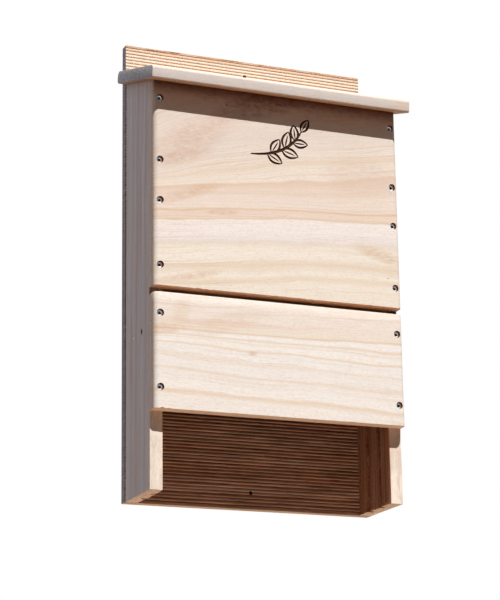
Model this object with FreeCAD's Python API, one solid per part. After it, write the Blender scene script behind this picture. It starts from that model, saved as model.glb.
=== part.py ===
import FreeCAD, Part
import math
import os

# Three-chamber bat box that hangs on a wall or post. Millimetres, +Z up, the front looks along -Y.
# The origin is the middle of the back face, halfway between the two mounting holes.

# Whole box
box_height = 584.2
body_width = 323.85
overall_depth = 139.7

# Boards
back_thickness = 12.7
side_thickness = 15.875
side_depth = 88.9
panel_thickness = 15.875
panel_edge_radius = 6.35
baffle_thickness = 6.35

# Roof board
roof_thickness = 15.875
roof_pitch = 17.35
roof_underside_rise = 530.9
roof_end_overhang = 9.525
roof_housing_depth = 6.35
roof_top_arris_radius = 4.8
roof_low_arris_radius = 3.2
roof_back_radius = 6.0

# Fronts, measured up from the bottom edge of the back board
landing_height = 92.9
lower_panel_height = 140.0
vent_gap = 7.94

# Baffles
baffle_count = 2
baffle_groove_depth = 4.76
baffle_side_play = 0.3
baffle_face_play = 0.2
baffle_bottom_rise = 124.0
baffle_roof_gap = 19.05

# Saw kerfs that give the bats a grip
kerf_pitch = 4.18
kerf_width = 1.5
kerf_depth = 1.5

# The thin baffles have shallower kerfs, staggered on their two faces, so that they keep their strength
baffle_kerf_depth = 1.0
baffle_kerf_spacing = 2

# Wood screws
screw_length = 31.75
screw_head_diameter = 7.2
screw_head_height = 2.2
screw_shank_diameter = 3.6
screw_drive_width = 2.7
screw_drive_depth = 1.7
screw_hole_play = 0.05
pilot_extra_depth = 1.0

# Front screws sit well down in counterbores
counterbore_diameter = 8.8
counterbore_depth = 3.5
screw_end_margin = 25.4
screw_top_margin = 22.0
screw_pair_spacing = 50.8
back_screw_rows = 4
back_screw_margin = 60.0
roof_screw_margin = 22.0
flush_set = 0.3

# Nails that pin the baffles
nail_length = 28.0
nail_diameter = 2.2
nail_head_diameter = 5.6
nail_head_thickness = 1.1
nail_rise = 194.5
nail_set = 0.2
nail_hole_play = 0.05
split_length = 8.6
split_width = 3.4
split_depth = 2.6

# Mounting holes
mounting_hole_diameter = 4.76
mounting_hole_margin = 20.0

# Screws, nails and their holes are turned with this many flats, which keeps the model light
fastener_flats = 12

# A cutting shape runs this far past the face it enters. Lengths closer than tiny count as equal.
overcut = 1.0
tiny = 0.01

# Values that follow from the sizes above
half_width = body_width / 2
bottom = -box_height / 2
back_front_y = -back_thickness
side_front_y = back_front_y - side_depth
panel_front_y = side_front_y - panel_thickness
lower_panel_bottom = bottom + landing_height
lower_panel_top = lower_panel_bottom + lower_panel_height
upper_panel_bottom = lower_panel_top + vent_gap
pitch = math.radians(roof_pitch)
inner_half_width = half_width - side_thickness
chamber_depth = (side_depth - baffle_count * baffle_thickness) / (baffle_count + 1)
side_centre_x = half_width - side_thickness / 2
roof_half_length = half_width + roof_end_overhang

X = FreeCAD.Vector(1, 0, 0)
Y = FreeCAD.Vector(0, 1, 0)
Z = FreeCAD.Vector(0, 0, 1)


def underside_z(y):
    """Height of the roof's underside at depth y."""
    return bottom + roof_underside_rise + (y - back_front_y) * math.tan(pitch)


def flat_face(corners):
    """The flat face inside a closed outline of corners."""
    return Part.Face(Part.makePolygon(corners + corners[:1]))


def panel_prism(points, x_start, x_end):
    """Extrude a closed outline of (y, z) points from x_start to x_end."""
    corners = [FreeCAD.Vector(x_start, y, z) for y, z in points]
    return flat_face(corners).extrude(X * (x_end - x_start))


def kerfed_face(y, direction, z_low, z_high, depth, spacing=1, first=0):
    """(y, z) points up a face with saw kerfs, at whole pitches from the bottom edge.

    direction is +1 where the face looks along +Y. With a spacing, only every so many kerfs are cut.
    """
    lowest = math.ceil((z_low - bottom + kerf_width) / kerf_pitch)
    highest = math.floor((z_high - bottom - kerf_width) / kerf_pitch)
    floor = y - direction * depth
    points = [(y, z_low)]
    for step in range(lowest, highest + 1):
        if step % spacing == first:
            centre = bottom + step * kerf_pitch
            low, high = centre - kerf_width / 2, centre + kerf_width / 2
            points += [(y, low), (floor, low), (floor, high), (y, high)]
    return points + [(y, z_high)]


def on_slope(along, up):
    """(y, z) of a point that lies along the roof's underside from its back edge, and up through the board."""
    back_y = back_front_y + roof_housing_depth
    y = back_y - along * math.cos(pitch) - up * math.sin(pitch)
    z = underside_z(back_y) - along * math.sin(pitch) + up * math.cos(pitch)
    return y, z


def roof_slab():
    """The roof board with square arrises. Its front edge is cut plumb, so it stands upright."""
    front_y = -overall_depth
    front_low = underside_z(front_y)
    front_high = front_low + roof_thickness / math.cos(pitch)
    corners = [on_slope(0, 0), (front_y, front_low), (front_y, front_high), on_slope(0, roof_thickness)]
    return panel_prism(corners, -roof_half_length, roof_half_length)


def turned(profile, origin, direction):
    """Turn (radius, depth) points, in flats, about an axis that runs from origin along direction."""
    angles = [2 * math.pi * (flat + 0.5) / fastener_flats for flat in range(fastener_flats)]
    rings = [[FreeCAD.Vector(radius * math.cos(a), radius * math.sin(a), -depth) for a in angles]
             for radius, depth in profile]
    faces = [flat_face(rings[0]), flat_face(rings[-1])]
    for near, far in zip(rings, rings[1:]):
        for flat in range(fastener_flats):
            faces.append(flat_face([near[flat - 1], near[flat], far[flat], far[flat - 1]]))
    solid = Part.Solid(Part.Shell(faces)).removeSplitter()
    solid.Placement = FreeCAD.Placement(origin, FreeCAD.Rotation(-Z, direction))
    return solid


def screw(origin, direction):
    """Flat-head wood screw: origin is the middle of its head, direction the way it is driven."""
    head, shank = screw_head_diameter / 2, screw_shank_diameter / 2
    body = turned([(head, 0), (shank, screw_head_height), (shank, screw_length)], origin, direction)
    half = screw_drive_width / 2
    socket = Part.makeBox(screw_drive_width, screw_drive_width, screw_drive_depth + overcut,
                          FreeCAD.Vector(-half, -half, -screw_drive_depth))
    socket.Placement = FreeCAD.Placement(origin, FreeCAD.Rotation(-Z, direction))
    return body.cut(socket)


def screw_hole(origin, direction, mouth_diameter, mouth_height):
    """Everything that is bored for one screw: pilot, countersink and the mouth above the head."""
    mouth = mouth_diameter / 2
    head = screw_head_diameter / 2 + screw_hole_play
    shank = screw_shank_diameter / 2 + screw_hole_play
    return turned([(mouth, -mouth_height - overcut), (mouth, 0), (head, 0), (shank, screw_head_height),
                   (shank, screw_length + pilot_extra_depth)], origin, direction)


def front_screw_places(z_values):
    """Head centres of the screws that hold a front to both sides."""
    y = panel_front_y + counterbore_depth
    return [FreeCAD.Vector(sign * side_centre_x, y, z) for z in z_values for sign in (-1, 1)]


def upper_screw_heights():
    """One near each end of the panel, and two either side of its middle."""
    middle = (upper_panel_bottom + underside_z(side_front_y)) / 2
    return [upper_panel_bottom + screw_end_margin, middle - screw_pair_spacing / 2,
            middle + screw_pair_spacing / 2, underside_z(panel_front_y) - screw_top_margin]


def lower_screw_heights():
    return [lower_panel_bottom + screw_end_margin, lower_panel_top - screw_end_margin]


def back_screw_places():
    """Head centres of the screws driven through the back board into the sides."""
    top = roof_underside_rise - back_screw_margin
    step = (top - back_screw_margin) / (back_screw_rows - 1)
    heights = [bottom + back_screw_margin + row * step for row in range(back_screw_rows)]
    return [FreeCAD.Vector(sign * side_centre_x, -flush_set, z) for z in heights for sign in (-1, 1)]


def roof_screw_places():
    """Head centres on the roof's top face, over the top edges of the sides."""
    places = []
    for y_target in (back_front_y - roof_screw_margin, side_front_y + roof_screw_margin):
        along = (back_front_y + roof_housing_depth - y_target) / math.cos(pitch)
        y, z = on_slope(along, roof_thickness - flush_set)
        places += [FreeCAD.Vector(sign * side_centre_x, y, z) for sign in (-1, 1)]
    return places


roof_down = FreeCAD.Vector(0, math.sin(pitch), -math.cos(pitch))
upper_screws = front_screw_places(upper_screw_heights())
lower_screws = front_screw_places(lower_screw_heights())


def bore_front_screws(board, places):
    """Counterbored holes in a front, or the pilots that they share with the sides."""
    for place in places:
        board = board.cut(screw_hole(place, Y, counterbore_diameter, counterbore_depth))
    return board


def bore_flush_screws(board, places, direction):
    """Countersunk holes for screws whose heads lie just under the surface."""
    for place in places:
        board = board.cut(screw_hole(place, direction, screw_head_diameter + 2 * flush_set, flush_set))
    return board


def baffle_back_y(index):
    """Back face of a baffle, counted from the back board."""
    return back_front_y - chamber_depth - index * (chamber_depth + baffle_thickness)


def baffle_top_z(index):
    return underside_z(baffle_back_y(index) - baffle_thickness) - baffle_roof_gap


def nail_places(sign):
    """Middle of each nail's head on one side of the box, one nail to a baffle."""
    x = sign * (half_width - nail_set)
    return [FreeCAD.Vector(x, baffle_back_y(index) - baffle_thickness / 2, bottom + nail_rise)
            for index in range(baffle_count)]


def nail(place, sign):
    """A flat-headed nail: place is the middle of its head, sign the side it is driven from."""
    head, shank = nail_head_diameter / 2, nail_diameter / 2
    profile = [(head, 0), (head, nail_head_thickness), (shank, nail_head_thickness), (shank, nail_length)]
    return turned(profile, place, X * -sign)


def nail_hole(place, sign):
    """What the nail crushes into the wood, up to the surface it was driven through."""
    head, shank = nail_head_diameter / 2 + nail_hole_play, nail_diameter / 2 + nail_hole_play
    profile = [(head, -nail_set - overcut), (head, nail_head_thickness), (shank, nail_head_thickness),
               (shank, nail_length + nail_hole_play)]
    return turned(profile, place, X * -sign)


def back_board():
    """Plywood back, kerfed on its front face, with a sloped housing for the roof."""
    top = bottom + box_height
    front = kerfed_face(back_front_y, -1, bottom, top, kerf_depth)
    board = panel_prism([(0, top), (0, bottom)] + front, -half_width, half_width)
    board = board.cut(roof_slab())
    for z in (bottom + mounting_hole_margin, top - mounting_hole_margin):
        hole = Part.makeCylinder(mounting_hole_diameter / 2, back_thickness + 2 * overcut,
                                 FreeCAD.Vector(0, overcut, z), -Y)
        board = board.cut(hole)
    return bore_flush_screws(board, back_screw_places(), -Y)


def side(sign):
    """One side: its top follows the roof, and its inner face has a groove for each baffle."""
    outline = [(back_front_y, bottom), (back_front_y, underside_z(back_front_y)),
               (side_front_y, underside_z(side_front_y)), (side_front_y, bottom)]
    board = panel_prism(outline, sign * inner_half_width, sign * half_width)
    for index in range(baffle_count):
        width = baffle_thickness + 2 * baffle_face_play
        low_y = baffle_back_y(index) + baffle_face_play - width
        low_x = inner_half_width - overcut if sign > 0 else -inner_half_width - baffle_groove_depth
        groove = Part.makeBox(baffle_groove_depth + overcut, width, box_height,
                              FreeCAD.Vector(low_x, low_y, bottom - overcut))
        board = board.cut(groove)
    board = bore_front_screws(board, upper_screws + lower_screws)
    board = bore_flush_screws(board, back_screw_places(), -Y)
    board = bore_flush_screws(board, roof_screw_places(), roof_down)
    for place in nail_places(sign):
        board = board.cut(nail_hole(place, sign))
    return board


def split_at_nail(board):
    """The left side has a short split along the grain beside its front nail."""
    place = nail_places(-1)[-1]
    half = split_width / 2
    straight = split_length - split_width
    low = place.z - straight / 2
    outside = -half_width - overcut
    split = Part.makeBox(split_depth + overcut, split_width, straight,
                         FreeCAD.Vector(outside, place.y - half, low))
    for z in (low, low + straight):
        end = Part.makeCylinder(half, split_depth + overcut, FreeCAD.Vector(outside, place.y, z), X)
        split = split.fuse(end)
    return board.cut(split)


def rounded_front(board):
    """Round the two upright arrises on a front's face."""
    chosen = [edge for edge in board.Edges
              if abs(edge.BoundBox.YMax - panel_front_y) < tiny
              and abs(edge.BoundBox.YMin - panel_front_y) < tiny
              and edge.BoundBox.ZLength > edge.BoundBox.XLength]
    return board.makeFillet(panel_edge_radius, chosen)


def lower_front_panel():
    outline = [(side_front_y, lower_panel_bottom), (side_front_y, lower_panel_top),
               (panel_front_y, lower_panel_top), (panel_front_y, lower_panel_bottom)]
    board = rounded_front(panel_prism(outline, -half_width, half_width))
    return bore_front_screws(board, lower_screws)


def upper_front_panel():
    """Its top edge is bevelled to lie under the roof."""
    outline = [(side_front_y, upper_panel_bottom), (side_front_y, underside_z(side_front_y)),
               (panel_front_y, underside_z(panel_front_y)), (panel_front_y, upper_panel_bottom)]
    board = rounded_front(panel_prism(outline, -half_width, half_width))
    return bore_front_screws(board, upper_screws)


def roof_arris(board, place):
    """One of the edges that run from end to end of the roof, counted from the lowest."""
    long_edges = [edge for edge in board.Edges if edge.BoundBox.XLength > roof_half_length]
    return sorted(long_edges, key=lambda edge: edge.CenterOfMass.z)[place]


def roof_board():
    """Sloped board with rounded front arrises. Its rounded back edge sits in the back board's housing."""
    board = roof_slab()
    # The arrises are rounded from the highest down, so the places of the rest stay as they are
    for place, radius in ((3, roof_back_radius), (2, roof_back_radius),
                          (1, roof_top_arris_radius), (0, roof_low_arris_radius)):
        board = board.makeFillet(radius, [roof_arris(board, place)])
    return bore_flush_screws(board, roof_screw_places(), roof_down)


def baffle(index):
    """Thin plywood divider, kerfed on both faces, that slides in the grooves of the sides."""
    back_y = baffle_back_y(index)
    front_y = back_y - baffle_thickness
    low, high = bottom + baffle_bottom_rise, baffle_top_z(index)
    rear = kerfed_face(back_y, 1, low, high, baffle_kerf_depth, baffle_kerf_spacing)
    front = kerfed_face(front_y, -1, low, high, baffle_kerf_depth, baffle_kerf_spacing,
                        baffle_kerf_spacing // 2)
    half = inner_half_width + baffle_groove_depth - baffle_side_play
    board = panel_prism(rear + front[::-1], -half, half)
    for sign in (-1, 1):
        board = board.cut(nail_hole(nail_places(sign)[index], sign))
    return board


def group(solids):
    """Separate solids that share one node."""
    return Part.makeCompound(solids)


parts = {
    "back_board": back_board(),
    "left_side": split_at_nail(side(-1)),
    "right_side": side(1),
    "lower_front_panel": lower_front_panel(),
    "upper_front_panel": upper_front_panel(),
    "roof_board": roof_board(),
    "rear_baffle": baffle(0),
    "front_baffle": baffle(1),
    "upper_panel_screws": group([screw(place, Y) for place in upper_screws]),
    "lower_panel_screws": group([screw(place, Y) for place in lower_screws]),
    "back_board_screws": group([screw(place, -Y) for place in back_screw_places()]),
    "roof_screws": group([screw(place, roof_down) for place in roof_screw_places()]),
    "baffle_nails": group([nail(place, sign) for sign in (-1, 1) for place in nail_places(sign)]),
}

os.makedirs("parts", exist_ok=True)
for name, shape in parts.items():
    shape.exportStep("parts/" + name + ".step")
    box = shape.BoundBox
    print(f"{name:20s} solids {len(shape.Solids):2d} valid {shape.isValid()} "
          f"volume {shape.Volume:11.1f} "
          f"x {box.XMin:8.2f} {box.XMax:8.2f} y {box.YMin:8.2f} {box.YMax:7.2f} "
          f"z {box.ZMin:8.2f} {box.ZMax:8.2f}")
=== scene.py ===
# %% [markdown]
# A bat box is a flat wooden roost. Bats fly up to the open bottom, land on the rough back
# board and climb into narrow chambers. This lesson takes the box's exact solids from CAD
# and gives each board the look of real timber. It opens with the frame: every solid comes
# in already at its right place and size, so nothing here has to be fitted by eye.

# %% Open the frame
import functools
import math
import random

import bmesh
import bpy
from mathutils import Matrix, Vector, noise


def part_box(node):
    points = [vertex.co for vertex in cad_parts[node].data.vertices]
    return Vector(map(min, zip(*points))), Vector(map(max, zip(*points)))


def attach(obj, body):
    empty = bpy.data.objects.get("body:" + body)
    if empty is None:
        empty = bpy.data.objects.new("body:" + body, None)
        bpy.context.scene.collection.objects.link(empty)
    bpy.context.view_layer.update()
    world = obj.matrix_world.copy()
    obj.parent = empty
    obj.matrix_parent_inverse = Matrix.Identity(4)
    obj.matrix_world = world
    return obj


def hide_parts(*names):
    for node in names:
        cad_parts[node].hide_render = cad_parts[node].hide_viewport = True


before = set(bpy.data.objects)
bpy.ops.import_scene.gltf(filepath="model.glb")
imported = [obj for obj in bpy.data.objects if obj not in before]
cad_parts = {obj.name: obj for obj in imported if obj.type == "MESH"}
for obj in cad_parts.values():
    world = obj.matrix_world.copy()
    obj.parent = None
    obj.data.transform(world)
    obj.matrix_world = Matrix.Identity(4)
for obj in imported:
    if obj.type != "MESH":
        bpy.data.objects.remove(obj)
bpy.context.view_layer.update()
print("frame of", len(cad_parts), "nodes")

# %% [markdown]
# A carpenter thinks in millimetres and Blender in metres. All the numbers below are
# millimetres, and one factor turns them into metres when a mesh is finished. Board sizes
# are read from the CAD solids instead of being typed again, so the two can't disagree.

# %% Millimetres
metre = 1000.0


def corners(node):
    """Lowest and highest corner of a CAD node, in millimetres."""
    low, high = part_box(node)
    return low * metre, high * metre


back_low, back_high = corners("back_board")
side_low, side_high = corners("left_side")
upper_low, upper_high = corners("upper_front_panel")
lower_low, lower_high = corners("lower_front_panel")
roof_low, roof_high = corners("roof_board")
print("back board", [round(v, 1) for v in back_high - back_low], "mm")

# %% [markdown]
# Most boards here are one section carried along a line, as a moulding is run through a
# planer. So the main tool is a loft: rows of points, skinned with four-sided faces. It
# makes cleaner meshes than a stack of cubes, and each row can be nudged a little, which is
# how worn arrises, torn fibres and a wandering saw blade get into the shape itself.

# %% Loft


def loft(bm, rows):
    """Skin rows of points with four-sided faces and close both ends. Gives back the faces."""
    rings = [[bm.verts.new(point) for point in row] for row in rows]
    faces = [bm.faces.new(rings[0]), bm.faces.new(rings[-1])]
    for near, far in zip(rings, rings[1:]):
        for i in range(len(near)):
            faces.append(bm.faces.new((near[i - 1], near[i], far[i], far[i - 1])))
    return faces


def steps(start, end, largest):
    """Evenly spaced values from start to end, no further apart than largest."""
    count = max(1, math.ceil(abs(end - start) / largest))
    return [start + (end - start) * i / count for i in range(count + 1)]


def wander(x, y, z, amount):
    """A smooth random value, up to about amount either way, that is the same on every run."""
    return amount * noise.noise(Vector((x, y, z)))


print("loft ready:", len(steps(0, 100, 7)), "rows for a 100 mm board")

# %% [markdown]
# No sawn board has a truly sharp arris. A pass with sandpaper takes off half a millimetre,
# and that thin line catches the light. A bevel on the mesh gives the same line, and is
# better than a shader trick because it is still there when the mesh is exported.

# %% Finish a piece


def ease(bm, width, angle=40):
    """Take the sharpness off every edge that turns by more than the angle."""
    bmesh.ops.recalc_face_normals(bm, faces=bm.faces)
    sharp = [edge for edge in bm.edges
             if len(edge.link_faces) == 2 and edge.calc_face_angle() > math.radians(angle)]
    bmesh.ops.bevel(bm, geom=sharp, offset=width, segments=2, profile=0.5,
                    affect="EDGES", clamp_overlap=True)


def put(name, data):
    """Add a mesh, a lamp or a camera to the scene."""
    thing = bpy.data.objects.new(name, data)
    bpy.context.scene.collection.objects.link(thing)
    return thing


def new_object(name, bm, finishes):
    """Turn a bmesh in millimetres into an object in metres, with its list of materials."""
    bmesh.ops.recalc_face_normals(bm, faces=bm.faces)
    bmesh.ops.scale(bm, vec=(1 / metre,) * 3, verts=bm.verts)
    mesh = bpy.data.meshes.new(name)
    bm.to_mesh(mesh)
    bm.free()
    for finish in finishes:
        mesh.materials.append(finish)
    return put(name, mesh)


def cut(piece, cutter, crossing=False):
    """Take the cutter's shape out of the piece for good. New faces keep the cutter's finish."""
    tool = piece.modifiers.new("cut", "BOOLEAN")
    tool.operation = "DIFFERENCE"
    tool.solver = "EXACT"
    tool.use_self = crossing
    tool.material_mode = "TRANSFER"
    tool.object = cutter
    graph = bpy.context.evaluated_depsgraph_get()
    mesh = bpy.data.meshes.new_from_object(piece.evaluated_get(graph))
    piece.modifiers.clear()
    piece.data = mesh
    bpy.data.objects.remove(cutter)


def settle(piece, slot, *nodes, smooth=35):
    """Shade the piece, hang it on the box, and let it stand for its CAD nodes."""
    for polygon in piece.data.polygons:
        polygon.use_smooth = True
    piece.data.set_sharp_from_angle(angle=math.radians(smooth))
    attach(piece, "root")
    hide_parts(*nodes)
    print(piece.name, "has", len(piece.data.polygons), "faces")


print("a piece is made by new_object, shaped by ease and cut, and hung by settle")

# %% [markdown]
# Colours are written as sRGB hex, the numbers that a paint chart or a photograph gives.
# The renderer works in linear light, so one function converts them. A second small
# function adds any shader node with its settings and links, and every material below is
# built from it, so the recipe of a material can be read from top to bottom.

# %% Colours and nodes


def linear(colour):
    """Linear RGBA of an sRGB hex colour such as #E8D4BC."""
    parts = [int(colour[i:i + 2], 16) / 255 for i in (1, 3, 5)]
    return [c / 12.92 if c <= 0.04045 else ((c + 0.055) / 1.055) ** 2.4 for c in parts] + [1.0]


def add_node(tree, kind, inputs=(), stops=(), points=(), **settings):
    """Add a node. inputs fill its sockets: a list in their order, or a dict by name or number.

    A node or a socket is linked, and any other value is set. stops are (place, hex colour)
    pairs for a ramp, and points are (place, height) pairs for a curve.
    """
    node = tree.nodes.new("ShaderNode" + kind)
    for name, value in settings.items():
        setattr(node, name, value)
    for name, value in inputs.items() if isinstance(inputs, dict) else enumerate(inputs):
        if isinstance(value, bpy.types.Node):
            value = next(output for output in value.outputs if output.enabled)
        if isinstance(value, bpy.types.NodeSocket):
            tree.links.new(value, node.inputs[name])
        else:
            node.inputs[name].default_value = value
    for i, (place, colour) in enumerate(stops):
        ramp = node.color_ramp.elements
        stop = ramp[i] if i < 2 else ramp.new(place)
        stop.position, stop.color = place, linear(colour)
    for i, (place, height) in enumerate(points):
        line = node.mapping.curves[0].points
        if i < 2:
            line[i].location = (place, height)
        else:
            line.new(place, height)
    if points:
        node.mapping.update()
    return node


def adder(owner):
    """Empty the node tree of a material or a world, and return what adds a node to it."""
    owner.use_nodes = True
    owner.node_tree.nodes.clear()
    return functools.partial(add_node, owner.node_tree)


print("a tan in linear light:", [round(c, 3) for c in linear("#E8D4BC")])

# %% [markdown]
# Four recipes are shared by all the woods. The first gives each point its place on the
# board in millimetres. The second is a noise whose grains have real sizes: a fibre is long
# and thin, so its grain is stretched along the board. The third lays coats of colour one
# over another. The last closes a wood with its gloss and the relief of its fibres. Wood's
# IOR is about 1.45, and dry wood hardly shines.

# %% What the woods share


def measure(add):
    """The object's own millimetres as three sockets, X, Y and Z."""
    place = add("TexCoord").outputs["Object"]
    place = add("VectorMath", {0: place, "Scale": metre}, operation="SCALE")
    return add("SeparateXYZ", [place]).outputs


def grains(add, spot, sizes, detail, rough=0.5, shift=(0.0, 0.0, 0.0)):
    """Noise at a spot of three sockets, with grains of three sizes in millimetres."""
    spot = add("CombineXYZ", list(spot))
    spot = add("VectorMath", [spot, [1 / size for size in sizes], shift],
               operation="MULTIPLY_ADD")
    return add("TexNoise", {"Vector": spot, "Scale": 1.0, "Detail": detail, "Roughness": rough})


def coated(add, colour, coats):
    """Lay coats on a colour. (share, tone) blends a tone in, and (light, None) brightens."""
    for share, tone in coats:
        if tone is None:
            colour = add("VectorMath", {0: colour, "Scale": share}, operation="SCALE")
        else:
            tone = linear(tone) if isinstance(tone, str) else tone
            colour = add("Mix", {0: share, 6: colour, 7: tone}, data_type="RGBA")
    return colour


def wood_surface(add, colour, roughness, gloss, relief, strength, depth):
    """Close a wood's recipe. depth is how deep its relief is, in metres."""
    bump = add("Bump", {"Height": relief, "Strength": strength, "Distance": depth})
    wood = add("BsdfPrincipled", {"Base Color": colour, "Roughness": roughness, "IOR": 1.45,
                                  "Specular IOR Level": gloss, "Normal": bump})
    add("OutputMaterial", {"Surface": wood})


print("shared by the woods: place, grain, coats and surface")

# %% [markdown]
# The fronts, sides and roof are planed poplar, a pale hardwood with creamy sapwood, tan
# bands and thin orange growth lines. A board is a slice through a log, so the lines on its
# face are level sets of one field: the height across the board, bent by the curve of the
# log and warped a little by noise. A wood texture node would give even rings, which is what
# makes quick wood look false. So the field comes first, with the bends as drawn curves.

# %% The curve of the log
curve_span = 200.0  # millimetres that a curve node's 0 to 1 stands for
bend_reach = 25.0  # how far from its height a bend blends with the one before


def curved_height(add, axes, along, across, reach, bends):
    """Height across a board, less what the log's curve lifts the grain.

    bends are (height, [(along, rise), ...]): how far the grain rises there, near that height.
    """
    place = add("MapRange", [axes[along], -reach, reach])
    rise = None
    for level, line in bends:
        curve = add("FloatCurve", {"Value": place}, points=[
            ((a + reach) / (2 * reach), r / curve_span + 0.5) for a, r in line])
        level_rise = add("Math", [curve, curve_span, -curve_span / 2], operation="MULTIPLY_ADD")
        if rise is None:
            rise = level_rise
        else:
            near = add("MapRange", [axes[across], level - bend_reach, level + bend_reach],
                       interpolation_type="SMOOTHSTEP")
            rise = add("Mix", {0: near, 2: rise, 3: level_rise})
    return add("Math", [axes[across], rise], operation="SUBTRACT")


print("a curve spans", curve_span, "mm")

# %% [markdown]
# Some wood is darker than its band: figure by a branch, a small knot, a damp patch. Each is
# an ellipse on the face, tilted with the grain, and flecked so that its rim isn't smooth. A few
# patches below are painted shade instead, standing where a shadow falls.

# %% Patches of figure


def figure_coats(add, axes, along, across, flecked, figures):
    """Coats for (along, across, half length, half height, tilt, colour, strength) patches."""
    coats = []
    for a, h, half_length, half_height, tilt, tone, strength in figures:
        side_step = add("Math", [axes[along], a], operation="SUBTRACT")
        lift = add("Math", [axes[across], h], operation="SUBTRACT")
        lift = add("Math", [side_step, -tilt, lift], operation="MULTIPLY_ADD")
        spot = add("CombineXYZ", [side_step, lift])
        spot = add("VectorMath", [spot, (1 / half_length, 1 / half_height, 0.0)],
                   operation="MULTIPLY")
        far = add("VectorMath", [spot, spot], operation="DOT_PRODUCT")
        inside = add("MapRange", [far, 1.0, 0.0, 0.0, strength], interpolation_type="SMOOTHSTEP")
        coats.append((add("Math", [inside, flecked], operation="MULTIPLY"), tone))
    return coats


print("a patch takes 8 nodes")

# %% [markdown]
# One board shows other faces too. End grain drinks more light, so it is darker than the
# face, and speckled with cut pores. The underside was sawn and never planed, and its
# orange-brown tone is partly painted light, for warm light bounced up under the board. An
# upright board has end grain there instead. Rain and sun have greyed what faces the open
# sky. The surface's own direction tells these faces apart.

# %% Ends, undersides and weathered tops


def other_faces(add, axes, along, fibre, end_tones, sawn_and_bounce, exposed):
    """Coats for faces that look along the grain, down, and up at the sky."""
    facing = add("SeparateXYZ", [add("TexCoord").outputs["Normal"]]).outputs
    end_on = add("Math", [facing[along]], operation="ABSOLUTE")
    speckle = add("MapRange", [grains(add, axes, [1 / 0.55] * 3, 6.0, 0.75), 0.38, 0.62])
    faces = [(add("MapRange", [end_on, 0.75, 0.95, 0.0, 0.85]), speckle, end_tones)]
    # The underside tones are partly painted light, for warm light bounced up from below.
    if sawn_and_bounce:
        below = add("MapRange", [facing[2], -0.75, -0.95, 0.0, 0.95])
        faces.append((below, speckle, sawn_and_bounce))
    if exposed:
        above = add("MapRange", [facing[2], 0.75, 0.95, 0.0, 0.7])
        faces.append((above, fibre, ("#9C8D7E", "#C8BAAA")))
    return [(share, add("Mix", {0: mottle, 6: linear(dark), 7: linear(pale)}, data_type="RGBA"))
            for share, mottle, (dark, pale) in faces]


print("ends, undersides and tops are coats too")

# %% [markdown]
# Now the whole board. A ramp over the field of heights paints the broad bands, and noise
# stretched along the grain adds growth lines, flecks, fibres and pores, each laid over the
# last. Fibres are about 0.1 mm wide: they are drawn at 0.7 mm, so that a few show from here.

# %% Planed poplar


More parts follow.
